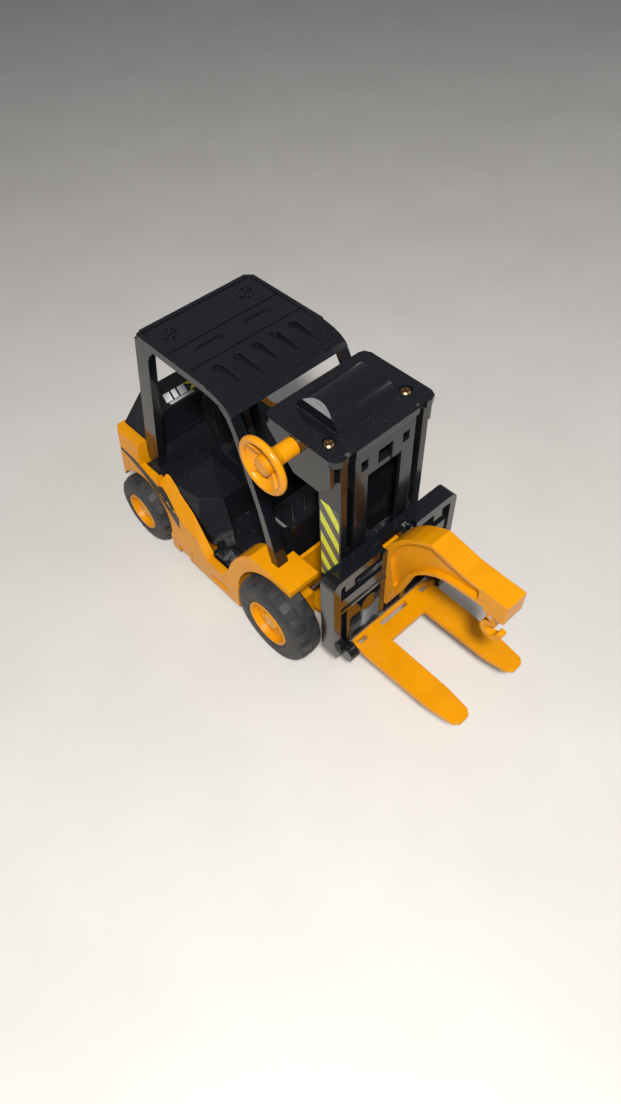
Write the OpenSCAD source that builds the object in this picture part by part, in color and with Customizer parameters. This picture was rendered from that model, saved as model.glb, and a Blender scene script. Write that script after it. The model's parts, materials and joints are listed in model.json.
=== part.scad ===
// Toy forklift truck with a hand winch, folding forks and a plug-in crane jib.
// Origin on the ground under the middle of its length and width. +Z up, forks point to -Y, the driver's
// right is -X. The modules are drawn with y = 0 midway between the axles, and placed() moves them.

/* [Wheels] */
// Distance between the two axles
wheelbase = 112; // [110:1:113]
// Diameter of the front tyres
front_tyre_d = 51.2; // [50:0.2:51.6]
// Diameter of the rear tyres
rear_tyre_d = 43.2; // [42:0.2:43.6]
// Width of a front tyre
front_tyre_w = 17.4; // [15:0.2:17.4]
// Width of a rear tyre
rear_tyre_w = 13.6; // [12:0.2:13.6]
// Width over the outer faces of the tyres
track_over_tyres = 104.6; // [104:0.2:106]
// Number of lugs in each row of a front tyre
front_lugs = 17; // [13:1:18]
// Number of lugs in each row of a rear tyre
rear_lugs = 15; // [11:1:16]
// Diameter of the axle pins
axle_d = 3; // [2.6:0.1:3.2]

/* [Body] */
// Width over the lower sills
sill_w = 97.6; // [96:0.4:98.4]
// Height of the underside above the ground
ground_clearance = 8; // [7:0.5:9]
// Height of the joint between the chassis base and the body shell
seam_z = 19.6; // [19.2:0.2:20]
// Height of the rear deck on which the hood sits
deck_z = 65.8; // [65:0.2:66.4]
// Height of the hood's flat top
hood_z = 79.5; // [78:0.5:81]
// Height of the ledge beside the seat
ledge_z = 53; // [52:0.5:53.5]
// Height of the cabin floor
floor_z = 30.8; // [30:0.2:31.6]

/* [Overhead guard] */
// Height of the roof's top face
roof_z = 143.3; // [142.5:0.1:144]
// Width of the roof
roof_w = 70.6; // [69:0.2:71]
// Width over the feet of the pillars
guard_foot_w = 75.8; // [75:0.2:76]
// Thickness of the roof panel
roof_t = 3.4; // [3:0.2:4]

/* [Mast] */
// Width of the mast column
mast_w = 52.4; // [52:0.2:52.6]
// Width of the winch housing on top of the mast
cap_w = 60.6; // [60:0.2:61]
// Height of the flat top of the winch housing
cap_z = 146.4; // [146:0.1:147]
// Radius of the cover over the winch drum
dome_r = 14; // [13.8:0.1:14.4]
// Radius of the handwheel
handwheel_r = 13.8; // [12:0.2:14.4]

/* [Carriage and forks] */
// Width of the carriage frame
carriage_w = 82.8; // [82:0.2:84]
// Height of the carriage frame
carriage_h = 62.6; // [60:0.2:63]
// Height of the carriage frame above the ground, half raised
carriage_z = 23.8; // [23.4:0.1:24.1]
// How far the carriage can sink from there
lift_down = 20; // [10:1:20]
// How far the carriage can rise from there
lift_up = 40; // [30:1:42]
// Length of the fork tines in front of the fork base
tine_l = 54; // [40:1:58]
// Thickness of the fork plate
fork_t = 2.8; // [2.2:0.1:2.8]

/* [Crane jib] */
// Width of the jib
jib_w = 12; // [10:0.5:12]
// How far the jib's nose reaches in front of the carriage
jib_reach = 63.9; // [60:0.5:70]

/* [Hidden] */
$fn = 64;

yellow = "#F0A010";
black = "#22262B";
steel = "#B9BCC0";
bronze = "#9A7C52";
tyre_grey = "#3A3B3C";

gap = 0.15;          // clearance between pieces that are fixed together
run = 0.05;          // radial clearance of a shaft that turns in a bore
press = 0.01;        // radial clearance of a pressed-on piece
cut = 1;             // overshoot of a cutting solid
wide = 200;          // longer than the whole toy in any direction

front_y = -wheelbase / 2;
rear_y = wheelbase / 2;
front_r = front_tyre_d / 2;
rear_r = rear_tyre_d / 2;
front_rim_r = 13.8;
rear_rim_r = 11.7;
half_sill = sill_w / 2;
half_mast = mast_w / 2;
half_cap = cap_w / 2;
half_roof = roof_w / 2;
half_foot = guard_foot_w / 2;

mast_back = -69.3;
mast_front = -83.6;
mast_foot_z = 11;
carriage_back = -86.1;
carriage_front = -95;
carriage_top = carriage_z + carriage_h;
guide_low = mast_foot_z + lift_down + 0.5;
guide_high = guide_low + 40;
mast_top_z = guide_high + lift_up + 13;  // top of the hollow column, where the drum bay starts

winch_y = -60.1;
winch_z = 141.1;
cord_r = 0.48;
wind_r = 12;         // radius at which the cord leaves the drum
drum_half = 14;
flange_r = 12.7;
cord_y = winch_y - wind_r;

trunnion_y = -96.8;
trunnion_z = 25.4;
nose_y = carriage_front - jib_reach;
hook_y = nose_y + 7.2;
hook_z = 87.1;

fork_base_y = -106.8;              // front edge of the fork base
fork_tip_y = fork_base_y - tine_l;
tail_y = 85.3;
middle_y = (fork_tip_y + tail_y) / 2;

inner_half = 30;                   // half width of the body between the wheels
sill_back = rear_y - rear_r - 1.4;
sill_front = front_y + front_r + 3;
fender_top = 57;
fender_r = 37;                     // radius of the fender's rear edge about the front axle
wall_y = -51;                      // front face of the cross wall
deck_front = 60;
roof_back = 45;
hood_front = 58;
hood_back = tail_y - 3.8;
axle_block = [22.5, 28.5];         // from x to x

// ---------------------------------------------------------------- helpers

// A curve from p0 to p2 that leaves and arrives along the lines through p1
function bend(p0, p1, p2, steps = 6) =
  [for (i = [0:steps]) let (t = i / steps) (1 - t) * (1 - t) * p0 + 2 * t * (1 - t) * p1 + t * t * p2];

// A closed outline from its half with x > 0, completed by its mirror image
function mirrored(half) =
  concat(half, [for (i = [len(half) - 1:-1:0]) [-half[i][0], half[i][1]]]);

// The points of a list in reverse order
function reversed(points) = [for (i = [len(points) - 1:-1:0]) points[i]];

// Extrudes a side view drawn as (y, z) across x from x0 to x1
module side_view(x0, x1) {
  translate([x0, 0, 0]) rotate([90, 0, 90]) linear_extrude(x1 - x0) children();
}

// Extrudes a front view drawn as (x, z) along y from y0 to y1
module front_view(y0, y1) {
  translate([0, y1, 0]) rotate([90, 0, 0]) linear_extrude(y1 - y0) children();
}

// The child and its mirror image across the centre plane
module both_sides() {
  children();
  mirror([1, 0, 0]) children();
}

// A box given by its lowest and highest corners
module block(low, high) {
  translate(low) cube(high - low);
}

// Half space beyond the plane through p that faces along n
module beyond(p, n) {
  translate(p)
    rotate([0, acos(n[2] / norm(n)), atan2(n[1], n[0])])
      translate([-wide, -wide, 0]) cube([2 * wide, 2 * wide, wide]);
}

// A cylinder along x from x0 to x1
module rod_x(x0, x1, r, y, z, fn = 64) {
  translate([x0, y, z]) rotate([0, 90, 0]) cylinder(h = x1 - x0, r = r, $fn = fn);
}

// A rectangle with rounded corners
module rounded(w, h, r) {
  hull() for (x = [-1, 1], y = [-1, 1])
    translate([x * (w / 2 - r), y * (h / 2 - r)]) circle(r, $fn = 32);
}

// A straight slot with round ends, l long and w wide, along y
module slot_y(l, w) {
  for (s = [-1, 1]) translate([0, s * (l - w) / 2]) circle(d = w, $fn = 32);
  square([w, l - w], center = true);
}

// A Phillips pan-head screw pointing along -z, with the underside of its head at z = 0
module pan_screw(head_r, head_h, shank_r, length) {
  difference() {
    union() {
      cylinder(h = head_h * 0.55, r = head_r);
      translate([0, 0, head_h * 0.55]) cylinder(h = head_h * 0.45, r1 = head_r, r2 = head_r * 0.72);
      translate([0, 0, -length]) cylinder(h = length + 0.01, r = shank_r);
    }
    for (a = [0, 90]) rotate([0, 0, a])
      translate([-head_r * 0.55, -0.4, head_h * 0.45]) cube([head_r * 1.1, 0.8, head_h]);
  }
}

// ---------------------------------------------------------------- wheels

// A balloon tyre with two rows of pockets between its lugs, its axis along z
module tyre(r, w, bore, lugs) {
  pitch = 360 / lugs;
  pocket_w = PI * r / lugs * 0.96;
  pocket_depth = 1.8;
  half = [[bore, w / 2 - 1], [bore + 1.2, w / 2], [r - 5.4, w / 2], [r - 3, w / 2 - 0.6],
          [r - 1.3, w / 2 - 2], [r - 0.3, w / 2 - 4], [r, w / 2 - 6.2]];
  difference() {
    rotate_extrude($fn = 96)
      polygon(concat(half, [for (i = [len(half) - 1:-1:0]) [half[i][0], -half[i][1]]]));
    for (i = [0:lugs - 1], side = [-1, 1])
      rotate([0, 0, pitch * (i + side * 0.25)]) mirror([0, 0, side < 0 ? 1 : 0])
        translate([r - pocket_depth, -pocket_w / 2, 1.1]) cube([pocket_depth + cut, pocket_w, w / 2 - 3.2]);
    // groove along the middle of the tread
    rotate_extrude($fn = 96) translate([r - 0.6, -0.35]) square([1, 0.7]);
  }
}

// A dished wheel rim with a round lip on its outer face (+z) and a pressed-on hub
module rim(r, w) {
  bore = axle_d / 2 + press;
  face = w / 2;
  rotate_extrude($fn = 96) polygon([
    [bore, 2 - face], [4, 2 - face], [4, face - 7], [r - 2, face - 7], [r - 2, 2 - face],
    [r, 2 - face], [r, face - 0.6], [r - 0.4, face - 0.1], [r - 1, face], [r - 1.5, face - 0.5],
    [r - 2, face - 3.6], [r * 0.5, face - 4.4], [r * 0.4, face - 3.2], [r * 0.36, face - 2.2],
    [r * 0.26, face - 1.9], [bore, face - 1.9]
  ]);
  // wheel nuts in the dish
  for (i = [0:5]) rotate([0, 0, 60 * i])
    translate([r * 0.63, 0, face - 5]) cylinder(h = 1.8, r = r * 0.075);
}

// Places a wheel piece with its outer face outwards on the given side (-1 right, 1 left)
module on_axle(side, y, r, w) {
  translate([side * (track_over_tyres - w) / 2, y, r]) rotate([0, side * 90, 0]) children();
}

module front_tyre(side) {
  color(tyre_grey) on_axle(side, front_y, front_r, front_tyre_w)
    tyre(front_r, front_tyre_w, front_rim_r + run, front_lugs);
}

module rear_tyre(side) {
  color(tyre_grey) on_axle(side, rear_y, rear_r, rear_tyre_w)
    tyre(rear_r, rear_tyre_w, rear_rim_r + run, rear_lugs);
}

module front_rim(side) {
  color(yellow) on_axle(side, front_y, front_r, front_tyre_w) rim(front_rim_r, front_tyre_w);
}

module rear_rim(side) {
  color(yellow) on_axle(side, rear_y, rear_r, rear_tyre_w) rim(rear_rim_r, rear_tyre_w);
}

module front_right_tyre() { front_tyre(-1); }
module front_left_tyre() { front_tyre(1); }
module rear_right_tyre() { rear_tyre(-1); }
module rear_left_tyre() { rear_tyre(1); }
module front_right_rim() { front_rim(-1); }
module front_left_rim() { front_rim(1); }
module rear_right_rim() { rear_rim(-1); }
module rear_left_rim() { rear_rim(1); }

// Length of both axle pins, which end inside the hubs
axle_half = track_over_tyres / 2 - 2.2;

// Steel pin through both front wheels
module front_axle() {
  color(steel) rod_x(-axle_half, axle_half, axle_d / 2, front_y, front_r);
}

// Steel pin through both rear wheels
module rear_axle() {
  color(steel) rod_x(-axle_half, axle_half, axle_d / 2, rear_y, rear_r);
}

// ---------------------------------------------------------------- chassis and body

screw_spots = [[30, -33], [-30, -33], [37.5, 25.5], [-37.5, 25.5]];

// Yellow tub that carries both axles and the mast and closes the body from below
module chassis_base() {
  b = ground_clearance;
  color(yellow) difference() {
    union() {
      translate([0, 0, b]) linear_extrude(seam_z - gap - b) polygon(mirrored([
        [inner_half, tail_y - 2.5], [inner_half, sill_back], [half_sill, sill_back],
        [half_sill, sill_front], [inner_half + 3.5, sill_front], [inner_half + 3.5, -37],
        [inner_half, -39], [inner_half, -48]
      ]));
      both_sides() {
        block([axle_block[0], front_y - 4, b], [axle_block[1], wall_y + 2.5, front_r + 4]);
        block([axle_block[0], front_y - 4, b], [axle_block[1], -46, front_r + 2]);
        block([axle_block[0], rear_y - 4.5, b], [axle_block[1], rear_y + 4.5, rear_r + 4.5]);
      }
      // shoe under and behind the mast column
      block([-20, mast_front + 2, b], [20, -47, mast_foot_z - gap]);
      block([-20, mast_back + gap, b], [20, mast_back + 3, 30]);
    }
    // hollow inside
    block([-25.5, 35, b + 2], [25.5, 49, wide]);
    block([-25.5, 63.5, b + 2], [25.5, 80, wide]);
    block([-19, 49, b + 2], [19, 63.5, wide]);
    block([-27.5, -45.5, b + 2], [27.5, 30.5, wide]);
    both_sides() {
      block([35.5, -12.5, b + 2], [half_sill - 2, 20, wide]);
      // panel lines and vents in each sill
      block([half_sill - 0.6, 29.5, b + 2], [half_sill + cut, 30, seam_z + cut]);
      block([half_sill - 0.6, 13.5, b + 2], [half_sill + cut, 14, seam_z + cut]);
      block([half_sill - 1.2, 17, b - cut], [half_sill + cut, 27, b + 6.6]);
      side_view(half_sill - 0.9, half_sill + cut) polygon([
        [-4, b + 3.5], [-4, b + 7], [-18, b + 8.5], [-18, b + 4]
      ]);
    }
    // axle bores
    rod_x(-60, 60, axle_d / 2 + run, front_y, front_r);
    rod_x(-60, 60, axle_d / 2 + run, rear_y, rear_r);
    // screw holes with sunk heads
    for (p = screw_spots) translate([p[0], p[1], 0]) {
      cylinder(h = 40, r = 1.45);
      translate([0, 0, b - cut]) cylinder(h = cut + 1.7, r = 2.75);
    }
  }
}

// Screws that hold the base to the body, driven from below
module base_screws() {
  color(steel) for (p = screw_spots)
    translate([p[0], p[1], ground_clearance + 1.7]) rotate([180, 0, 0]) pan_screw(2.5, 1.5, 1.3, 14);
}

// Outline of the body shell seen from the side: tail, deck, side wall, step and fender
shell_side = concat(
  [[tail_y - 1.5, 33], [tail_y, 48], [tail_y - 0.5, 57], [tail_y - 3, deck_z], [deck_front, deck_z]],
  [[deck_front - 0.5, ledge_z - 1], [42.5, ledge_z - 1], [42.5, ledge_z + 2], [38, ledge_z + 2]],
  [[16, 45.5], [-1, 26.5], [-1, 25], [-15, 25]],
  [for (a = [12:11.5:58]) [front_y + fender_r * cos(a), front_r + fender_r * sin(a)]],
  [[-38, fender_top], [-67.5, fender_top], [-67.5, seam_z], [tail_y - 1.5, seam_z]]
);

// Half plan of the well that the cabin moulding fills, made smaller by e all round
function well(e) = [
  [36 - e, 81 - e], [36 - e, deck_front - e], [40.5 - e, deck_front - e], [40.5 - e, 42.5 + e],
  [38 - e, 40.5 + e], [38 - e, 38], [41 - e, 16]
];

// Yellow body with both fenders, the wheel arches and the tail
module body_shell() {
  fender_low = fender_top - 3.5;
  color(yellow) {
    difference() {
      intersection() {
        side_view(-60, 60) polygon(shell_side);
        front_view(-80, 90) polygon(mirrored([
          [half_sill - 7.5, deck_z], [half_sill - 6.5, deck_z - 1.5], [half_sill - 4, ledge_z - 2],
          [half_sill, seam_z]
        ]));
      }
      // cabin opening
      translate([0, 0, 47]) linear_extrude(wide) polygon(mirrored(concat(well(0), [[43, -1], [43, -2]])));
      translate([0, 0, seam_z - cut]) linear_extrude(40) polygon(mirrored([
        [35.5, 81], [35.5, 29.5], [39.5, 29.5], [41, 16], [43, -1], [44, -1], [44, -15],
        [32, -15], [32, wall_y + 2]
      ]));
      both_sides() {
        // slanted facets of the side walls
        intersection() {
          beyond([38, 38, ledge_z + 2], [6, -1, 4]);
          block([32, 8.5, 21], [64, 42.4, 74]);
        }
        intersection() {
          beyond([41, 16, 45.5], [2, -7, 6.5]);
          block([32, -1, 21], [64, 42.4, 74]);
        }
        // tail corners
        beyond([44, tail_y - 7, 48], [4, 3, 0.25]);
        // wheel arches
        rod_x(37.5, 70, rear_r + 3, rear_y, rear_r, 96);
        rod_x(34, 70, front_r + 2.5, front_y, front_r, 96);
        block([34, -85, seam_z - cut], [64, front_y, fender_low]);
        block([37.5, rear_y, seam_z - cut], [64, 95, 33]);
        // inside of the fender nose
        block([25.5, -85, 10], [35, wall_y, fender_low]);
        block([-cut, -85, 10], [25.5, wall_y, 75]);
        block([-cut, wall_y - cut, 49], [25.5, -32, 64]);
        block([24.5, wall_y + 2, 10], [31.5, -32, fender_low]);
        block([25.4, wall_y + 2, 52], [29, -32, 64]);
        // the axle blocks of the base reach through the cross wall
        block([axle_block[0] - gap, wall_y - cut, seam_z - cut], [axle_block[1] + gap, wall_y + 3, front_r + 4 + gap]);
        // slot over the rear axle
        rod_x(30, 40, axle_d / 2 + run, rear_y, rear_r);
        block([30, rear_y - axle_d / 2 - run, seam_z - cut], [40, rear_y + axle_d / 2 + run, rear_r]);
        // sockets for the pillars of the overhead guard
        front_pillar(gap);
        rear_pillar(gap);
      }
      // hollow tail
      block([-35.6, rear_y - 5, seam_z - cut], [35.6, 81, 31.8]);
    }
    // inner edges of the fenders join the cross wall
    both_sides() difference() {
      block([25.5, -67.5, fender_low], [34.5, wall_y + 2, fender_top]);
      front_pillar(gap);
    }
    // bosses for the base screws
    for (p = screw_spots) difference() {
      translate([p[0], p[1], seam_z]) cylinder(h = 7.5, r = 3.2);
      translate([p[0], p[1], seam_z - cut]) cylinder(h = 9 + cut, r = 1.35);
    }
  }
}

// ---------------------------------------------------------------- cabin

// Black cabin moulding: floor, steps, engine cover with its ledges, bulkhead and hood
module cab_insert() {
  color(black) {
    difference() {
      union() {
        // engine cover and hood
        difference() {
          intersection() {
            translate([0, 0, floor_z - 2.5]) linear_extrude(60) polygon(mirrored([
              [26.5, 6], [30, -4], [36, 0.5], [40, 2.5], each reversed(well(2 * gap))
            ]));
            side_view(-60, 60) polygon([
              [-5.5, 0], [-5.5, ledge_z], [hood_front - 3, ledge_z], [hood_front, ledge_z + 4],
              [hood_front, hood_z], [hood_back, hood_z], [hood_back, 0]
            ]);
            // shoulders of the hood and sloping side panels
            union() {
              front_view(hood_front, hood_back + cut) polygon(mirrored([
                [22, hood_z], [33, deck_z + 3], [36, deck_z], [36, 0]
              ]));
              front_view(42, hood_front) polygon(mirrored([
                [31.5, deck_z - 2], [32.5, ledge_z - 1], [40.5, ledge_z - 1], [40.5, 0]
              ]));
              hull() {
                front_view(41.9, 42) polygon(mirrored([[33, ledge_z], [38, ledge_z + 2], [38, 0]]));
                front_view(36, 36.1) polygon(mirrored([[33, ledge_z], [38.5, ledge_z + 1], [38.5, 0]]));
                front_view(11.5, 11.6) polygon(mirrored([[33, ledge_z], [40.5, ledge_z - 9.5], [40.5, 0]]));
                front_view(-5.5, -5.4) polygon(mirrored([[33, ledge_z], [40.5, ledge_z - 21], [40.5, 0]]));
              }
            }
          }
          // chamfered front corners of the ledges
          both_sides() beyond([33, 12.5, ledge_z], [1, -1, 0.9]);
          // hollow underneath
          block([-32, 9.5, 0], [32, 56, ledge_z - 3]);
          block([-33, deck_front + 0.5, 0], [33, 78, deck_z - 2]);
          block([-41, 27.5, 0], [41, 85, 32.5]);
          both_sides() block([35, 28.5, 0], [42, 85, 48]);
        }
        // floor and steps
        block([-31.5, wall_y + 2.5, floor_z - 2.5], [31.5, 10, floor_z]);
        both_sides() {
          block([29, -14.5, 21], [42, 2, 24]);
          block([29, -14.5, 21], [31.5, 2, floor_z - 1]);
          block([30, -0.5, 21], [38, 2.5, floor_z + 1]);
        }
      }
      // recessed panel in the bulkhead
      block([-13, hood_front - 1, 60], [13, hood_front + 0.7, 75]);
      // screw bosses of the body come up under the floor
      for (p = screw_spots) translate([p[0], p[1], 0]) cylinder(h = seam_z + 7.7, r = 3.4);
      both_sides() rear_pillar(gap);
    }
    both_sides() {
      // raised dots on the ledges beside the seat
      for (i = [0:2], j = [0:4])
        translate([14.5 + 6.8 * i, 18.6 + 6.8 * j, ledge_z - 0.1]) cylinder(h = 0.6, r = 0.75);
      // raised rings on the steps
      for (i = [0:2], j = [0:1])
        translate([33.4 + 3.6 * i, -10 + 6 * j + 1.2 * (i % 2), 23.9]) difference() {
          cylinder(h = 0.6, r = 1.5);
          cylinder(h = 2, r = 0.8);
        }
    }
    // raised dots on the floor
    for (i = [-4:4], j = [0:3]) {
      translate([6.2 * i, -13 + 6.2 * j, floor_z - 0.1]) cylinder(h = 0.6, r = 0.8);
    }
  }
}

// Black driver's seat with a tall backrest
module seat() {
  half = 11;
  base = ledge_z + gap;
  color(black) difference() {
    union() {
      side_view(-half, half) polygon([
        [3, base], [3, 61.5], [4.5, 63.5], [24, 62.5], [26.5, 65], [29.5, 97], [31, 99.5], [34, 99.5],
        [35.5, 98], [35.5, base]
      ]);
      // side bolsters of the cushion and of the backrest
      both_sides() side_view(half - 3.5, half) polygon([
        [6, 62], [7.5, 65], [21, 65.5], [24.4, 69], [27, 93], [30, 96], [30, 62]
      ]);
    }
    // softened outer corners
    both_sides() {
      beyond([half, 31, 95], [0.75, 0, 0.66]);
      beyond([half, 6, 58], [0.7, -0.7, 0.1]);
      beyond([half - 0.8, 3, 60], [0.7, -0.7, 0]);
    }
  }
}

// Black dashboard in front of the driver, with four control levers on its top
module dashboard() {
  half = 21.5;
  top = 63.6;
  lever_pitch = 8.2;
  color(black) {
    difference() {
      translate([0, 0, floor_z + gap]) linear_extrude(top - floor_z - gap) polygon(mirrored([
        [half - 3, -21], [half, -23.6], [half, -38.3], [half - 2.5, -41.2]
      ]));
      block([2.5 - half, -38.6, 0], [half - 2.5, -23.8, top - 2.5]);
      // softened top edges
      beyond([0, -41.2, top - 1], [0, -0.7, 0.7]);
      beyond([0, -21, top - 4], [0, 0.7, 0.7]);
      both_sides() beyond([half, -30, top - 1], [0.7, 0, 0.7]);
    }
    for (i = [-1.5:1.5]) translate([lever_pitch * i, -34.6, top - 0.2]) {
      cylinder(h = 7.4, r = 0.85);
      translate([0, 0, 6.6]) cylinder(h = 0.9, r1 = 0.9, r2 = 1.6);
      translate([0, 0, 7.5]) cylinder(h = 1.2, r = 1.6);
    }
    // grip ribs along the top
    for (i = [0:2]) translate([0, -31.2 + 2.2 * i, 0]) block([-16, 0, top - 0.1], [16, 0.8, top + 0.35]);
  }
}

// ---------------------------------------------------------------- overhead guard

// One rear pillar on the left side, grown by e on every side to cut its seat
module rear_pillar(e = 0) {
  foot_z = ledge_z - 1;
  top = roof_z - 1.5;
  intersection() {
    side_view(20, 60) polygon([
      [roof_back + e, top], [62 + e, foot_z - e], [51.5 - e, foot_z - e], [37 - e, roof_z - 11],
      [34.5 - e, roof_z - 7], [29, top]
    ]);
    front_view(20, 70) polygon([
      [half_roof + e, roof_z], [half_foot - 1.5 + e, foot_z - e], [half_foot - 6 - e, foot_z - e],
      [half_roof - 4.5 - e, roof_z]
    ]);
  }
}

// One front pillar on the left side, grown by e on every side to cut its seat
module front_pillar(e = 0) {
  foot_z = fender_top - 2;
  knee_z = 87.5;
  intersection() {
    side_view(20, 60) polygon([
      [-52.5 - e, foot_z - e], [-43 - e, knee_z], [-29 - e, roof_z - 15], [-25, roof_z - 7],
      [-22.5, roof_z - 4.5], [-16.5, roof_z - 4.5], [-22, roof_z - 9.5], [-25 + e, roof_z - 15],
      [-39 + e, knee_z], [-47 + e, foot_z - e]
    ]);
    front_view(-60, 0) polygon([
      [half_roof + e, roof_z], [half_foot + e, foot_z - e], [half_foot - 6.5 - e, foot_z - e],
      [half_roof - 5 - e, roof_z]
    ]);
  }
}

// Glossy black overhead guard: roof panel, two front pillars and two rear pillars
module overhead_guard() {
  top = roof_z;
  low = roof_z - roof_t;
  roof_front = -27.5;
  curve_y = -6;        // where the roof starts to curve down to its front edge
  color(black) difference() {
    union() {
      // roof with its curved front edge and a lip at the rear
      intersection() {
        side_view(-half_roof, half_roof) polygon(concat(
          [[roof_back, low - 1], [roof_back, top]],
          [for (t = [0:15:75]) [curve_y - 20.5 * sin(t), top - 9 * (1 - cos(t))]],
          [for (t = [68:-17:0]) [curve_y - 19 * sin(t), low - 8.5 * (1 - cos(t))]],
          [[roof_back - 4.5, low]]
        ));
        translate([0, (roof_back + roof_front) / 2, 100]) linear_extrude(50)
          rounded(roof_w, roof_back - roof_front, 3);
      }
      both_sides() {
        front_pillar();
        rear_pillar();
        // raised rim along the sides of the roof
        block([half_roof - 2, -9, top - 1], [half_roof, roof_back - 3, top + 0.7]);
        // bosses with a slot rib
        translate([23, 33.5, top - 1]) difference() {
          cylinder(h = 1.8, r = 4.4);
          translate([0, 0, 1]) cylinder(h = 2, r = 3.3);
        }
        translate([23, 33.5, top - 0.3]) cube([6, 1.2, 1.6], center = true);
      }
      // raised rim along the rear edge and pip in the middle
      block([-half_roof + 3, roof_back - 2.2, top - 1], [half_roof - 3, roof_back, top + 0.7]);
      translate([0, 8, top - 1]) cylinder(h = 1.5, r = 1.2);
    }
    // steps across the roof
    block([-half_roof + 2.5, 21, top - 0.7], [half_roof - 2.5, 22.2, top + 0.4]);
    block([-half_roof + 2.5, 4.3, top - 0.7], [half_roof - 2.5, 5.5, top + 0.4]);
    // shallow oblong recesses
    both_sides() translate([14.2, 14.5, top - 0.9]) linear_extrude(2) rotate([0, 0, 90]) slot_y(16, 4.4);
    // five pockets near the front edge
    for (i = [-2:2]) translate([11.2 * i, -8.5, top - 1.9]) linear_extrude(4) slot_y(18, 4.6);
  }
}

// ---------------------------------------------------------------- mast and winch

house_screws = [[-22.5, -72.8], [22.5, -72.8]];
lid_t = 3.4;         // thickness of the winch housing's lid
lid_z = cap_z - lid_t;

// Black mast column with its two guide slots
module mast_frame() {
  bay_top = lid_z - gap;
  color(black) difference() {
    union() {
      block([-half_mast, mast_front, mast_foot_z], [half_mast, mast_back, mast_top_z]);
      both_sides() {
        block([22.5, mast_front, mast_top_z - cut], [half_mast, mast_back, bay_top]);
        block([15.9, -82.3, mast_top_z - cut], [17.9, -75.3, bay_top]);
        translate([22.5, -72.8, mast_top_z - cut]) cylinder(h = bay_top - mast_top_z + cut, r = 3);
      }
      block([-17.9, mast_front, mast_top_z - cut], [17.9, mast_front + 2, bay_top]);
    }
    // inside of the column
    block([-24.3, mast_front + 2, mast_foot_z - cut], [24.3, mast_back - 2, mast_top_z - 3]);
    // guide slots
    both_sides() block([17.9, mast_front - cut, mast_foot_z - cut], [22.5, mast_front + 4.3, cap_z]);
    // window in the front plate
    block([-10.3, mast_front - cut, 60.5], [10.3, mast_front + 3, 126.5]);
    block([-4.4, mast_front - cut, 120], [4.4, mast_front + 3, 136.5]);
    both_sides() {
      block([10.4, mast_front - cut, 131], [14.5, mast_front + 3, 136.5]);
      beyond([half_mast, mast_back - 0.8, 70], [0.7, 0.7, 0]);
    }
    // holes for the cord and for the housing screws
    translate([0, cord_y, mast_top_z - 10]) cylinder(h = 20, r = 1.6);
    for (p = house_screws) translate([p[0], p[1], 128]) cylinder(h = 30, r = 1.25);
    // the drum turns in the bay on top
    rod_x(-14.9, 14.9, flange_r + 0.5, winch_y, winch_z, 96);
  }
}

// Black winch housing on top of the mast, with a rounded cover over the drum
module winch_housing() {
  back = winch_y + 19;
  front = mast_front - 1;
  wall = 2.5;
  notch = 1.5;
  color(black) difference() {
    union() {
      difference() {
        // lid with stepped front edge
        translate([0, 0, lid_z]) linear_extrude(lid_t) polygon(mirrored([
          [18.5, front], [18.5, front + 2.5], [23, front + 2.5], [23, front], [half_cap - 4, front],
          [half_cap - notch, front + 1], [half_cap, front + 4], [half_cap, back - 4],
          [half_cap - notch, back - 1], [half_cap - 4, back]
        ]));
        rod_x(-15.4, 15.4, flange_r + 0.2, winch_y, winch_z, 96);
      }
      // side cheeks
      both_sides() side_view(half_cap - wall, half_cap) polygon([
        [back - 2.5, lid_z + 0.5], [back - 2.5, lid_z - 1.5], [winch_y + 1, 124.5], [mast_back - 5, 124.5],
        [mast_front + 2, 131], [mast_front + 2, lid_z + 0.5]
      ]);
      // cover over the drum, closed down the rear as far as the mast
      difference() {
        rod_x(-17, 17, dome_r, winch_y, winch_z, 96);
        rod_x(-15.4, 15.4, flange_r + 0.2, winch_y, winch_z, 96);
        block([-20, -90, 100], [20, mast_back + gap, lid_z]);
        both_sides() beyond([17, winch_y, winch_z + dome_r - 3], [0.8, 0, 0.6]);
      }
    }
    // bores for the winch shaft
    rod_x(-40, 40, axle_d / 2 + run, winch_y, winch_z);
    // sunk screw seats
    for (p = house_screws) translate([p[0], p[1], 120]) {
      cylinder(h = 40, r = 1.35);
      translate([0, 0, cap_z - 1.7 - 120]) cylinder(h = 5, r = 3.3);
    }
  }
}

// Bronze Phillips screws of the winch housing
module housing_screws() {
  color(bronze) for (p = house_screws) translate([p[0], p[1], cap_z - 1.7]) pan_screw(2.6, 1.5, 1.2, 12);
}

// Steel shaft of the winch
module winch_shaft() {
  color(steel) rod_x(-47, half_cap - 0.2, axle_d / 2, winch_y, winch_z);
}

// Black drum on which the cord is wound
module winch_drum() {
  color(black) difference() {
    union() {
      rod_x(-drum_half, drum_half, wind_r - cord_r - 0.04, winch_y, winch_z, 96);
      for (s = [-1, 1]) rod_x(s * 13.1 - 0.9, s * 13.1 + 0.9, flange_r, winch_y, winch_z, 96);
    }
    rod_x(-20, 20, axle_d / 2 + press, winch_y, winch_z);
  }
}

// Turns of cord that lie on the drum
module drum_cord() {
  color(tyre_grey) for (i = [0:7], s = [-1, 1])
    translate([s * (1.6 + 1.3 * i), winch_y, winch_z]) rotate([0, 90, 0])
      rotate_extrude($fn = 96) translate([wind_r, 0]) circle(r = cord_r, $fn = 32);
}

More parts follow.
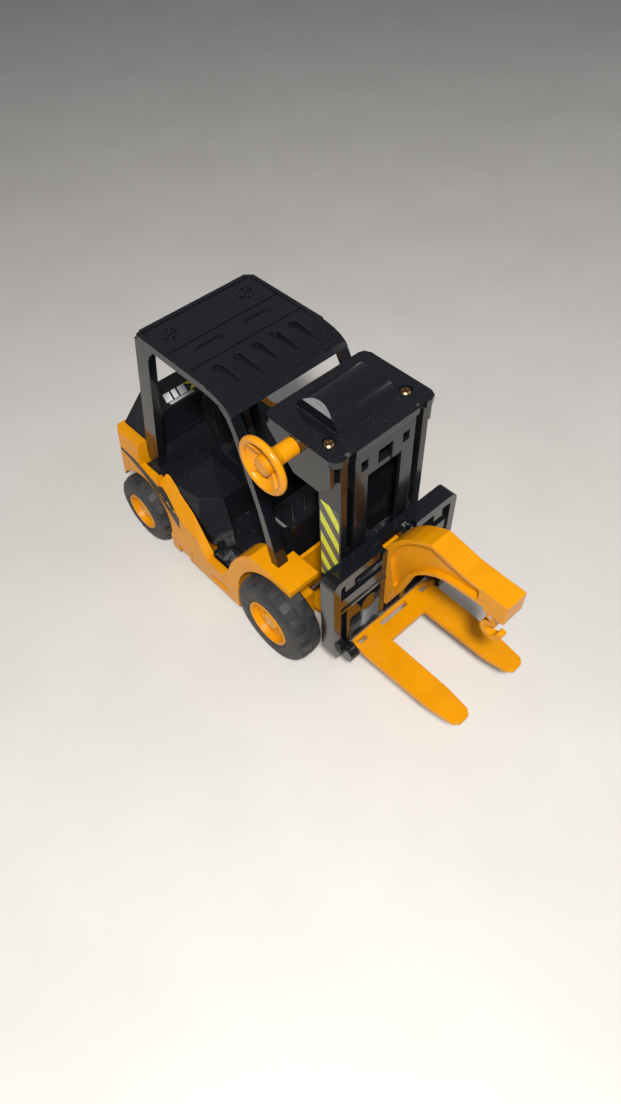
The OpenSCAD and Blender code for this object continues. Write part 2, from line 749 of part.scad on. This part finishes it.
// Yellow handwheel on the driver's right
module handwheel() {
  r = handwheel_r;
  t = 1.7;
  color(yellow) translate([-half_cap - gap, winch_y, winch_z]) rotate([0, -90, 0]) difference() {
    union() {
      rotate_extrude($fn = 96) union() {
        polygon([
          [axle_d / 2 + press, 0], [4.2, 0], [4.2, 8.5], [5.4, 10.8], [r - t - 0.6, 15.2], [r - t - 0.6, 16.9],
          [5.6, 13], [4.8, 13.6], [4.4, 17.2], [axle_d / 2 + press, 17.2]
        ]);
        translate([r - t, 16.3]) circle(r = t, $fn = 32);
      }
      // cap of the hub
      translate([0, 0, 16.75]) cylinder(h = 0.8, r = 3.4);
      // spokes
      for (a = [45:90:315]) rotate([0, 0, a])
        translate([4, 0.9, 0]) rotate([90, 0, 0]) linear_extrude(1.8)
          polygon([[0, 12.4], [0, 14.6], [r - t - 4.4, 17.8], [r - t - 4.4, 15.4]]);
    }
    for (a = [0, 180]) rotate([0, 0, a]) translate([8.6, 0, 5]) cylinder(h = 20, r = 0.9);
  }
}

// Straight length of cord from the drum to the carriage guide
module lift_cord() {
  color(tyre_grey) translate([0, cord_y, guide_high + gap])
    cylinder(h = winch_z - guide_high - gap, r = cord_r);
}

// ---------------------------------------------------------------- carriage, forks and jib

// Glossy black carriage frame that slides up the mast
module carriage_frame() {
  z0 = carriage_z;
  z1 = carriage_top;
  half = carriage_w / 2;
  back = carriage_back;
  front = carriage_front;
  color(black) difference() {
    union() {
      // outer frame
      front_view(front, back) difference() {
        translate([0, (z0 + z1) / 2]) rounded(carriage_w, z1 - z0, 5);
        translate([0, (z0 + 3.7 + z1 - 4.8) / 2]) rounded(carriage_w - 8.8, z1 - z0 - 8.5, 2);
      }
      // crossbars
      block([3 - half, front + 0.9, 61.5], [half - 3, back - 0.2, 69.5]);
      block([3 - half, front + 0.3, 60.1], [half - 3, back - 0.2, 62.1]);
      block([3 - half, front + 3.7, 69.5], [half - 3, back - 0.2, 71.5]);
      // recessed lower panel
      block([3 - half, back - 2.4, z0 + 2], [half - 3, back - 0.4, 62.5]);
      // recessed upper panel
      block([3 - half, back - 1.8, 70.5], [half - 3, back - 0.4, z1 - 3]);
      both_sides() {
        // posts that hold the jib
        block([jib_w / 2 + gap, front + 0.7, 27.5], [jib_w / 2 + 3.5, back - 0.2, z1 - 4.9]);
        // upright ribs
        block([29, front + 1.9, z0 + 3], [31, back - 1.2, 60.5]);
        // clips under the top edge
        block([27, front + 1.3, 74], [33, back - 1.2, z1 - 4]);
        block([11.5, front + 2.7, 79.3], [26, back - 1.2, z1 - 4]);
        // round bosses in the lower panel
        translate([14.5, back - 1.2, 47]) rotate([90, 0, 0]) cylinder(h = 5, r = 5.4);
      }
    }
    // seat of the jib
    block([-jib_w / 2 - gap, front - 8, 37.5], [jib_w / 2 + gap, back - 0.5, 81.7]);
    block([-12.4, front - 8, z1 - 4.9], [12.4, back - 4.4, z1 + cut]);
    both_sides() {
      // upright windows between the clips
      block([33.8, front - cut, 73], [36.4, back + cut, 79.5]);
      // fork barrels
      rod_x(29.6, 35.7, 4.75, trunnion_y, trunnion_z);
    }
    // clearance for the fork plate
    block([-29.75, front - 8, 20], [29.75, front + 2.2, 28.5]);
    block([-29.5, front - 8, 20], [29.5, front + 3.4, 25.9]);
  }
}

// Slider inside the mast, with tongues through its two slots
module carriage_guide() {
  color(black) difference() {
    union() {
      block([-24.1, -81.2, guide_low], [24.1, -74.3, guide_high]);
      both_sides() block([18.2, carriage_back + 0.05, guide_low], [22.2, -80, guide_high]);
      // lug under the end of the cord
      block([-3, -75, guide_high - 5], [3, cord_y + 0.5, guide_high]);
    }
    block([-11, -83.3, guide_low + 4], [11, -75.8, guide_high - 4]);
    both_sides() block([-16, -79.3, guide_low - cut], [-13, -76.3, guide_high + cut]);
  }
}

// Black barrels at the foot of the carriage in which the forks fold
module fork_bearings() {
  color(black) both_sides() difference() {
    union() {
      rod_x(29.85, 35.5, 4.6, trunnion_y, trunnion_z);
      block([33, carriage_front + 0.1, 28.7], [35.5, -89.3, 32.5]);
      block([33, trunnion_y, 25.4], [35.5, carriage_front + 0.2, 29.5]);
    }
    rod_x(28, 34.4, 1.95, trunnion_y, trunnion_z);
  }
}

// Yellow fork plate with both tines and its trunnions
module fork_plate() {
  tip = fork_tip_y;
  top = trunnion_z + 0.3;
  color(yellow) {
    difference() {
      translate([0, 0, top - fork_t]) linear_extrude(fork_t)
        offset(r = 1.6) offset(delta = -1.6) polygon(mirrored([
          [12.5, fork_base_y], [13, tip + 16], [14.5, tip + 3], [17, tip], [23, tip],
          [25.5, tip + 2.5], [27.5, tip + 18], [28.5, fork_base_y + 4.5], [27.5, trunnion_y + 3.5]
        ]));
      // slots in the base strip
      block([-9.6, -97.9, 20], [9.6, -95.3, 30]);
      both_sides() block([19.9, -97.9, 20], [25.7, -95.3, 30]);
      // ends of the tines thin out towards the tip
      both_sides() beyond([20, tip + 14, top - fork_t], [0, -0.09, -1]);
    }
    both_sides() rod_x(26.5, 34.1, 1.9, trunnion_y, trunnion_z);
  }
}

// The jib rises in one bend from the carriage to its crest, and its lower edge follows in another
jib_crest = [carriage_front - 22.5, 106];
jib_shoulder = [carriage_front - 3, 98];
jib_low = bend([carriage_front - 32.5, 90], [carriage_front - 15, 85], [carriage_front - 8.5, 60.5]);
jib_side = concat(
  [[carriage_back - 0.7, 39], [carriage_back - 0.7, 77.5]],
  bend([carriage_front + 4, 77.5], jib_shoulder, jib_crest),
  [[nose_y + 23.5, 102.5], [nose_y + 12, 102], [nose_y, 102], [nose_y, 90], [nose_y + 11, 90]],
  [[nose_y + 11, 92]], jib_low, [[carriage_front - 1, 39]]
);

// Outline of the recesses beside the jib's web
jib_recess = concat(
  [[carriage_front - 0.5, 68.5]], bend([carriage_front + 1, 77.5], jib_shoulder, jib_crest),
  [[nose_y + 23.5, 102.5], [nose_y + 12.5, 102], [nose_y + 12.5, 92]], jib_low,
  [[carriage_front - 3.5, 50.5]]
);

// Yellow crane jib with an I-shaped section, plugged into the carriage
module crane_jib() {
  color(yellow) difference() {
    union() {
      side_view(-jib_w / 2, jib_w / 2) offset(r = 0.8) offset(delta = -0.8) polygon(jib_side);
      // ears that carry the hook
      both_sides() hull() {
        rod_x(3, 4.8, 2.4, hook_y, hook_z, 32);
        block([3, hook_y - 2.4, hook_z + 2.4], [4.8, hook_y + 2.4, hook_z + 4.4]);
      }
    }
    // recesses on both sides of the web
    both_sides() side_view(jib_w / 2 - 2.4, jib_w / 2 + cut) offset(r = 0.8) offset(delta = -2.8)
      polygon(jib_recess);
    rod_x(-6, 6, 1 + press, hook_y, hook_z);
  }
}

// Steel pin on which the hook swings
module hook_pin() {
  color(steel) rod_x(-4.8, 4.8, 1, hook_y, hook_z);
}

// Yellow crane hook
module crane_hook() {
  throat_y = hook_y - 0.2;
  throat_z = hook_z - 13.4;
  color(yellow) difference() {
    union() {
      rod_x(-2.7, 2.7, 2.4, hook_y, hook_z);
      side_view(-1.9, 1.9) polygon([
        [hook_y - 1.8, hook_z], [hook_y + 1.8, hook_z], [hook_y + 1.8, hook_z - 9.6], [hook_y - 1.8, hook_z - 9.6]
      ]);
      side_view(-1.9, 1.9) difference() {
        translate([throat_y, throat_z]) circle(r = 5.8);
        translate([throat_y, throat_z]) circle(r = 2.7);
        polygon([
          [throat_y, throat_z + 0.2], [throat_y + 0.8, throat_z + 7], [throat_y - 12, throat_z + 7],
          [throat_y - 12, throat_z + 0.2]
        ]);
      }
      rod_x(-1.9, 1.9, 1.55, throat_y - 4.25, throat_z + 0.2, 32);
    }
    rod_x(-6, 6, 1 + run, hook_y, hook_z);
  }
}

// ---------------------------------------------------------------- what is drawn

// Moves a node from the axle midpoint to the toy's own origin
module placed() {
  translate([0, -middle_y, 0]) children();
}

placed() chassis_base();
placed() body_shell();
placed() cab_insert();
placed() seat();
placed() dashboard();
placed() overhead_guard();
placed() base_screws();
placed() mast_frame();
placed() winch_housing();
placed() housing_screws();
placed() winch_shaft();
placed() winch_drum();
placed() drum_cord();
placed() handwheel();
placed() lift_cord();
placed() carriage_frame();
placed() carriage_guide();
placed() fork_bearings();
placed() fork_plate();
placed() crane_jib();
placed() hook_pin();
placed() crane_hook();
placed() front_axle();
placed() rear_axle();
placed() front_right_rim();
placed() front_left_rim();
placed() rear_right_rim();
placed() rear_left_rim();
placed() front_right_tyre();
placed() front_left_tyre();
placed() rear_right_tyre();
placed() rear_left_tyre();
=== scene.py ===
"""Looks of the toy forklift truck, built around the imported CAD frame."""

import json
import math

import bmesh
import bpy
from mathutils import Matrix, Vector
from mathutils.bvhtree import BVHTree


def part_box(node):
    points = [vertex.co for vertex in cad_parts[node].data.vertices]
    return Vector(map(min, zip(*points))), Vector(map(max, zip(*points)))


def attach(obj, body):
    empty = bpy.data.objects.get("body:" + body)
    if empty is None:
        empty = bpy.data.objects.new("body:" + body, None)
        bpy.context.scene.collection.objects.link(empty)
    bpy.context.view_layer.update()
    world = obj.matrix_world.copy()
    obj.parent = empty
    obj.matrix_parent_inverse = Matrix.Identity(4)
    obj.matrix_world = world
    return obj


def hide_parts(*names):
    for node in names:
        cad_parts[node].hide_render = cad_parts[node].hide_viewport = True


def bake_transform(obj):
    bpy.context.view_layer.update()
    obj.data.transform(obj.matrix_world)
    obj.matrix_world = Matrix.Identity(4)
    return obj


MM = 0.001
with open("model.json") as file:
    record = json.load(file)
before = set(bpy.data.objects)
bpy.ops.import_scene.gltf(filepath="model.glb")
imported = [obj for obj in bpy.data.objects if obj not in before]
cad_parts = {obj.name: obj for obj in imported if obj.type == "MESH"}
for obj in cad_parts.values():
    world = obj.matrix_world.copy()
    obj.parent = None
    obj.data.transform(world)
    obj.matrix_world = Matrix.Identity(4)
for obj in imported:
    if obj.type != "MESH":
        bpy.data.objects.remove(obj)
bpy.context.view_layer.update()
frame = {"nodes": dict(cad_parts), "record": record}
nodes = frame["nodes"]


# ---------------------------------------------------------------- materials


class Shader:
    """A material with a Principled shader and short calls for adding and linking nodes."""

    def __init__(self, name):
        self.material = bpy.data.materials.new(name)
        self.material.use_nodes = True
        self.tree = self.material.node_tree
        self.bsdf = self.tree.nodes["Principled BSDF"]
        # object space, so that the pattern moves with the piece
        self.position = self.add("ShaderNodeTexCoord").outputs["Object"]

    def add(self, kind, **values):
        """Adds a node; values name its properties or its inputs."""
        node = self.tree.nodes.new(kind)
        for key, value in values.items():
            if hasattr(node, key):
                setattr(node, key, value)
            else:
                node.inputs[key.replace("_", " ")].default_value = value
        return node

    def link(self, source, target):
        self.tree.links.new(source, target)
        return target.node

    def noise(self, scale, detail=4.0, roughness=0.6):
        node = self.add("ShaderNodeTexNoise", Scale=scale, Detail=detail, Roughness=roughness)
        self.link(self.position, node.inputs["Vector"])
        return node.outputs["Fac"]

    def spread(self, value, low, high, out_low=0.0, out_high=1.0):
        """Maps value from low..high to out_low..out_high, clamped."""
        node = self.add("ShaderNodeMapRange")
        self.link(value, node.inputs["Value"])
        for key, number in (("From Min", low), ("From Max", high), ("To Min", out_low), ("To Max", out_high)):
            node.inputs[key].default_value = number
        return node.outputs["Result"]

    def math(self, operation, a, b):
        node = self.add("ShaderNodeMath", operation=operation)
        for socket, value in zip(node.inputs, (a, b)):
            if isinstance(value, (int, float)):
                socket.default_value = value
            else:
                self.link(value, socket)
        return node.outputs["Value"]

    def blend(self, factor, a, b, mode="MIX"):
        """Mixes two colours; a and b are colours or sockets."""
        node = self.add("ShaderNodeMix", data_type="RGBA", blend_type=mode)
        factor_in, a_in, b_in = node.inputs[0], node.inputs[6], node.inputs[7]
        for socket, value in ((factor_in, factor), (a_in, a), (b_in, b)):
            if isinstance(value, (int, float)):
                socket.default_value = value
            elif isinstance(value, tuple):
                socket.default_value = (*value, 1.0)
            else:
                self.link(value, socket)
        return node.outputs[2]

    def edges(self, radius):
        """1 along edges and 0 on flat faces, and the softened normal that shows it."""
        soft = self.add("ShaderNodeBevel", samples=4, Radius=radius)
        hard = self.add("ShaderNodeNewGeometry")
        dot = self.add("ShaderNodeVectorMath", operation="DOT_PRODUCT")
        self.link(soft.outputs["Normal"], dot.inputs[0])
        self.link(hard.outputs["Normal"], dot.inputs[1])
        return self.spread(dot.outputs["Value"], 0.995, 0.80), soft.outputs["Normal"]

    def bump(self, height, distance, strength=1.0, normal=None):
        node = self.add("ShaderNodeBump", Distance=distance, Strength=strength)
        self.link(height, node.inputs["Height"])
        if normal is not None:
            self.link(normal, node.inputs["Normal"])
        self.link(node.outputs["Normal"], self.bsdf.inputs["Normal"])

    def finish(self, color, roughness):
        for key, value in (("Base Color", color), ("Roughness", roughness)):
            socket = self.bsdf.inputs[key]
            if isinstance(value, tuple):
                socket.default_value = (*value, 1.0)
            elif isinstance(value, float):
                socket.default_value = value
            else:
                self.link(value, socket)
        return self.material


def moulded_plastic(name, color, gloss, dust=0.0, radius=0.35 * MM, coat=0.06):
    """Injection-moulded plastic: soft edges with a painted highlight along them, faint orange peel, handling
    marks and a little dust on top.
    """
    s = Shader(name)
    s.bsdf.inputs["Specular IOR Level"].default_value = 0.35
    edge_highlight, normal = s.edges(radius)
    tone = s.spread(s.noise(45.0), 0.35, 0.65)
    darker = tuple(c * 0.88 for c in color)
    # the lighter copy of the colour is the painted edge highlight
    edge_highlight_color = tuple(min(1.0, c * 1.25 + 0.006) for c in color)
    base = s.blend(tone, darker, color)
    # painted highlight: the colour is lightened along the edges found by the bevel
    base = s.blend(s.math("MULTIPLY", edge_highlight, 0.45), base, edge_highlight_color)
    smudge = s.spread(s.noise(130.0, 6.0), 0.45, 0.75)
    rough = s.math("ADD", s.math("MULTIPLY", smudge, 0.12), gloss)
    if dust > 0:
        facing = s.add("ShaderNodeSeparateXYZ")
        s.link(s.add("ShaderNodeNewGeometry").outputs["Normal"], facing.inputs["Vector"])
        up = s.spread(facing.outputs["Z"], 0.5, 1.0)
        specks = s.spread(s.noise(1500.0, 2.0), 0.70, 0.78)
        amount = s.math("MULTIPLY", s.math("MULTIPLY", up, specks), dust)
        base = s.blend(amount, base, (0.45, 0.44, 0.42))
    s.bump(s.noise(1400.0, 3.0), 0.02 * MM, 0.35, normal)
    s.bsdf.inputs["Coat Weight"].default_value = coat
    s.bsdf.inputs["Coat Roughness"].default_value = 0.10
    return s.finish(base, rough)


def tyre_rubber():
    """Matt moulded rubber with dust in the tread and a painted highlight along its edges."""
    s = Shader("tyre_rubber")
    edge_highlight, normal = s.edges(0.4 * MM)
    base = s.blend(s.spread(s.noise(60.0, 6.0), 0.4, 0.7), (0.020, 0.020, 0.021), (0.036, 0.035, 0.035))
    # painted highlight: the colour is lightened along the edges found by the bevel
    base = s.blend(s.math("MULTIPLY", edge_highlight, 0.35), base, (0.075, 0.073, 0.070))
    s.bump(s.noise(900.0, 5.0), 0.05 * MM, 0.5, normal)
    return s.finish(base, s.spread(s.noise(200.0), 0.3, 0.7, 0.50, 0.68))


def metal(name, color, roughness):
    """Turned metal with fine scratches."""
    s = Shader(name)
    s.bsdf.inputs["Metallic"].default_value = 1.0
    tone = s.blend(s.noise(400.0, 6.0), color, tuple(c * 0.72 for c in color))
    _, normal = s.edges(0.12 * MM)
    s.bump(s.noise(3000.0, 2.0), 0.01 * MM, 0.4, normal)
    return s.finish(tone, s.spread(s.noise(700.0), 0.3, 0.7, roughness * 0.8, roughness * 1.3))


def twisted_cord():
    """Thin twisted cord."""
    s = Shader("twisted_cord")
    wave = s.add("ShaderNodeTexWave", Scale=900.0, Distortion=1.5, bands_direction="DIAGONAL")
    s.link(s.position, wave.inputs["Vector"])
    base = s.blend(wave.outputs["Fac"], (0.012, 0.012, 0.012), (0.06, 0.058, 0.055))
    s.bump(wave.outputs["Fac"], 0.12 * MM)
    return s.finish(base, 0.8)


YELLOW = (0.66, 0.255, 0.0)
finishes = {
    "yellow_plastic": moulded_plastic("yellow_plastic", YELLOW, 0.30),
    "black_plastic": moulded_plastic("black_plastic", (0.0075, 0.0085, 0.0105), 0.20, 0.5, 0.45 * MM, 0.30),
    "gloss_black_plastic": moulded_plastic(
        "gloss_black_plastic", (0.006, 0.007, 0.009), 0.12, 0.35, 0.45 * MM, 0.50
    ),
    "steel": metal("bright_steel", (0.62, 0.62, 0.63), 0.28),
    "bronze_screw": metal("bronze_screw", (0.36, 0.25, 0.13), 0.32),
    "tyre_rubber": tyre_rubber(),
    "cord": twisted_cord(),
}

for part in frame["record"]["subparts"]:
    data = nodes[part["node"]].data
    data.materials.clear()
    data.materials.append(finishes[part["material_slot"]])


# ---------------------------------------------------------------- stickers


def sticker_film(name, pattern_colors, period, slant):
    """Printed film: bands of two colours, period apart along z and slanted along y, slightly worn."""
    s = Shader(name)
    axes = s.add("ShaderNodeSeparateXYZ")
    s.link(s.position, axes.inputs["Vector"])
    along = s.math("ADD", axes.outputs["Z"], s.math("MULTIPLY", axes.outputs["Y"], slant))
    phase = s.math("FRACT", s.math("DIVIDE", along, period), 0.0)
    band = s.spread(phase, 0.48, 0.50)
    wear = s.spread(s.noise(700.0, 5.0), 0.35, 0.75, 0.0, 0.25)
    base = s.blend(wear, s.blend(band, *pattern_colors), (0.20, 0.20, 0.19))
    s.bump(s.noise(900.0, 3.0), 0.01 * MM, 0.3)
    return s.finish(base, s.spread(s.noise(300.0), 0.3, 0.7, 0.28, 0.42))


def printed(name, color):
    """Printed film in one ink, with faint grain and wear."""
    s = Shader(name)
    wear = s.spread(s.noise(800.0, 5.0), 0.40, 0.80, 0.0, 0.35)
    base = s.blend(wear, color, tuple(c * 0.6 for c in color))
    s.bump(s.noise(1200.0, 3.0), 0.01 * MM, 0.3)
    return s.finish(base, s.spread(s.noise(300.0), 0.3, 0.7, 0.30, 0.45))


def add_piece(name, corners, faces, material):
    """A mesh piece that rides on the chassis."""
    mesh = bpy.data.meshes.new(name)
    mesh.from_pydata(corners, [], faces)
    mesh.materials.append(material)
    piece = bpy.data.objects.new(name, mesh)
    bpy.context.scene.collection.objects.link(piece)
    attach(piece, "chassis")
    return piece


def film(name, grid, out, material):
    """A closed thin sheet over a grid of points (rows of equal length), thickened along out."""
    rows, cols = len(grid), len(grid[0])
    under = [Vector(p) for row in grid for p in row]
    corners = under + [p + Vector(out) for p in under]
    top = rows * cols
    faces = []
    for i in range(rows - 1):
        for j in range(cols - 1):
            a = i * cols + j
            quad = (a, a + 1, a + cols + 1, a + cols)
            faces.append(quad[::-1])
            faces.append(tuple(q + top for q in quad))
    rim = list(range(cols))
    rim += [i * cols + cols - 1 for i in range(1, rows)]
    rim += [(rows - 1) * cols + j for j in range(cols - 2, -1, -1)]
    rim += [i * cols for i in range(rows - 2, 0, -1)]
    for a, b in zip(rim, rim[1:] + rim[:1]):
        faces.append((a, b, b + top, a + top))
    piece = add_piece(name, corners, faces, material)
    fix_normals(piece)
    return piece


def fix_normals(piece):
    """Points all the faces outwards."""
    work = bmesh.new()
    work.from_mesh(piece.data)
    bmesh.ops.recalc_face_normals(work, faces=work.faces)
    work.to_mesh(piece.data)
    work.free()


LIFT = 0.03 * MM       # how far a sticker stands off its surface
THICK = 0.08 * MM      # how thick a sticker is


def mast_stickers():
    """Hazard stripes on both sides of the mast."""
    low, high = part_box("mast_frame")
    stripes = sticker_film("hazard_film", ((0.62, 0.66, 0.02), (0.055, 0.060, 0.055)), 14 * MM, -1.2)
    front, back = low[1] + 1.0 * MM, high[1] - 1.6 * MM
    foot, height = 62 * MM, 52 * MM
    rows, cols = 12, 4
    for side, label in ((-1, "right"), (1, "left")):
        x = side * (high[0] + LIFT)
        grid = [
            [(x, front + (back - front) * j / cols, foot + height * i / rows) for j in range(cols + 1)]
            for i in range(rows + 1)
        ]
        film("hazard_sticker_" + label, grid, (side * THICK, 0, 0), stripes)


def hood_sticker():
    """Generic white blocks and a yellow chevron on the hood."""
    hood_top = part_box("cab_insert")[1][2] + LIFT
    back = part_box("cab_insert")[1][1]
    white = printed("white_ink", (0.70, 0.71, 0.70))
    yellow = printed("yellow_ink", (0.72, 0.60, 0.02))
    near, far = back - 18.5 * MM, back - 11.5 * MM
    blocks = ((-17, 4.2), (-11.6, 3.0), (-7.4, 4.6))
    for i, (start, width) in enumerate(blocks):
        xs = [start * MM, (start + width) * MM]
        grid = [[(x + (y - near) * 0.3, y, hood_top) for x in xs] for y in (near, (near + far) / 2, far)]
        film("hood_block_%d" % (i + 1), grid, (0, 0, THICK), white)
    for i, y in enumerate((near - 2.6 * MM, near - 1.4 * MM)):
        grid = [[(x * MM, y + d, hood_top) for x in (-16, -8, 0)] for d in (0, 0.6 * MM)]
        film("hood_line_%d" % (i + 1), grid, (0, 0, THICK), white)
    arm = 3.2 * MM
    tail_x, point_x = -1.0 * MM, 3.0 * MM
    grid = [
        [(tail_x + w, near, hood_top), (point_x + w, (near + far) / 2, hood_top), (tail_x + w, far, hood_top)]
        for w in (0, arm)
    ]
    film("hood_chevron", grid, (0, 0, THICK), yellow)


def side_swooshes():
    """Dark tapering bands that lie on the sides of the body shell."""
    ink = printed("dark_ink", (0.020, 0.018, 0.016))
    shell = nodes["body_shell"]
    surface = BVHTree.FromObject(shell, bpy.context.evaluated_depsgraph_get())
    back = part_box("body_shell")[1][1]
    steps, rows = 26, 5
    outside = 80 * MM        # where the rays start
    widest_inside = 35 * MM  # points nearer the middle lie on the wheel arch's inner wall
    for side, label in ((-1, "right"), (1, "left")):
        grid = []
        for i in range(steps + 1):
            t = i / steps
            y = back - (6 + 56 * t) * MM
            middle = (54 - 20 * t ** 2.2) * MM
            half_height = (0.5 + 3.6 * t) * MM
            row = []
            for j in range(rows):
                z = middle + half_height * (2 * j / (rows - 1) - 1)
                hit, _, _, _ = surface.ray_cast(Vector((side * outside, y, z)), Vector((-side, 0, 0)))
                row.append(None if hit is None else hit + Vector((side * LIFT, 0, 0)))
            grid.append(row)
        grid = [row for row in grid if all(p is not None and abs(p.x) > widest_inside for p in row)]
        if len(grid) > 2:
            film("side_swoosh_" + label, grid, (side * THICK, 0, 0), ink)


mast_stickers()
hood_sticker()
side_swooshes()


# ---------------------------------------------------------------- cord


def lift_cord():
    """Three-strand cord between the drum and the carriage, built in place of the lift_cord part, which is
    hidden.
    """
    low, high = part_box("lift_cord")
    middle = (Vector(low) + Vector(high)) / 2
    outer = (high[0] - low[0]) / 2
    rings, sides = 120, 18
    pitch = 4.0 * MM
    corners, faces = [], []
    for i in range(rings + 1):
        z = low[2] + (high[2] - low[2]) * i / rings
        twist = 2 * math.pi * (z - low[2]) / pitch
        for j in range(sides):
            a = 2 * math.pi * j / sides
            r = outer * (0.87 + 0.13 * math.cos(3 * a - twist))
            corners.append((middle[0] + r * math.cos(a), middle[1] + r * math.sin(a), z))
    for i in range(rings):
        for j in range(sides):
            a, b = i * sides + j, i * sides + (j + 1) % sides
            faces.append((a, b, b + sides, a + sides))
    faces.append(tuple(range(sides))[::-1])
    faces.append(tuple(rings * sides + j for j in range(sides)))
    mesh = bpy.data.meshes.new("twisted_lift_cord")
    mesh.from_pydata(corners, [], faces)
    mesh.materials.append(finishes["cord"])
    cord = bpy.data.objects.new("twisted_lift_cord", mesh)
    bpy.context.scene.collection.objects.link(cord)
    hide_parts("lift_cord")
    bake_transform(cord)


lift_cord()


# ---------------------------------------------------------------- floor, light and camera


def floor():
    """Plain pale floor."""
    mesh = bpy.data.meshes.new("floor")
    half = 3.0
    corners = [(-half, -half, 0), (half, -half, 0), (half, half, 0), (-half, half, 0)]
    mesh.from_pydata(corners, [], [(0, 1, 2, 3)])
    plane = bpy.data.objects.new("floor", mesh)
    bpy.context.scene.collection.objects.link(plane)
    s = Shader("pale_floor")
    base = s.blend(s.spread(s.noise(12.0, 3.0), 0.3, 0.7), (0.60, 0.58, 0.55), (0.64, 0.62, 0.59))
    mesh.materials.append(s.finish(base, 0.45))


def area_light(name, place, target, size, power, color=(1, 1, 1)):
    """A square area light at place that faces target."""
    data = bpy.data.lights.new(name, "AREA")
    data.size = size
    data.energy = power
    data.color = color
    lamp = bpy.data.objects.new(name, data)
    lamp.location = place
    lamp.rotation_euler = (Vector(target) - Vector(place)).to_track_quat("-Z", "Y").to_euler()
    bpy.context.scene.collection.objects.link(lamp)


def camera():
    """Camera above the front right corner, looking down at the toy."""
    yaw, pitch, roll = math.radians(41.01), math.radians(52.05), math.radians(-2.56)
    ahead = Vector((math.sin(yaw) * math.cos(pitch), math.cos(yaw) * math.cos(pitch), -math.sin(pitch)))
    level = Vector((math.cos(yaw), -math.sin(yaw), 0))
    upward = level.cross(ahead)
    right = level * math.cos(roll) + upward * math.sin(roll)
    up = upward * math.cos(roll) - level * math.sin(roll)
    data = bpy.data.cameras.new("camera")
    data.sensor_fit = "VERTICAL"
    data.sensor_height = 24.0
    data.lens = 16.77
    data.clip_start = 0.01
    eye = bpy.data.objects.new("camera", data)
    turn = Matrix((right, up, -ahead)).transposed()
    eye.matrix_world = Matrix.Translation(Vector((-175.8, -197.35, 361.9)) * MM) @ turn.to_4x4()
    bpy.context.scene.collection.objects.link(eye)
    bpy.context.scene.camera = eye


def studio():
    """Dim cool surroundings, a small key light near the camera and two soft lights."""
    world = bpy.data.worlds.new("studio")
    world.use_nodes = True
    world.node_tree.nodes["Background"].inputs["Color"].default_value = (0.9, 0.93, 1.0, 1)
    world.node_tree.nodes["Background"].inputs["Strength"].default_value = 0.14
    bpy.context.scene.world = world
    bpy.context.scene.view_settings.view_transform = "Standard"
    area_light("key", (-0.30, -0.36, 0.72), (0, 0, 0.05), 0.10, 9.0, (1.0, 0.98, 0.95))
    area_light("fill", (0.8, -0.5, 0.6), (0, 0, 0.05), 0.4, 1.5)
    area_light("rim", (-0.9, 0.6, 0.5), (0, 0, 0.05), 0.3, 1.5)


floor()
camera()
studio()
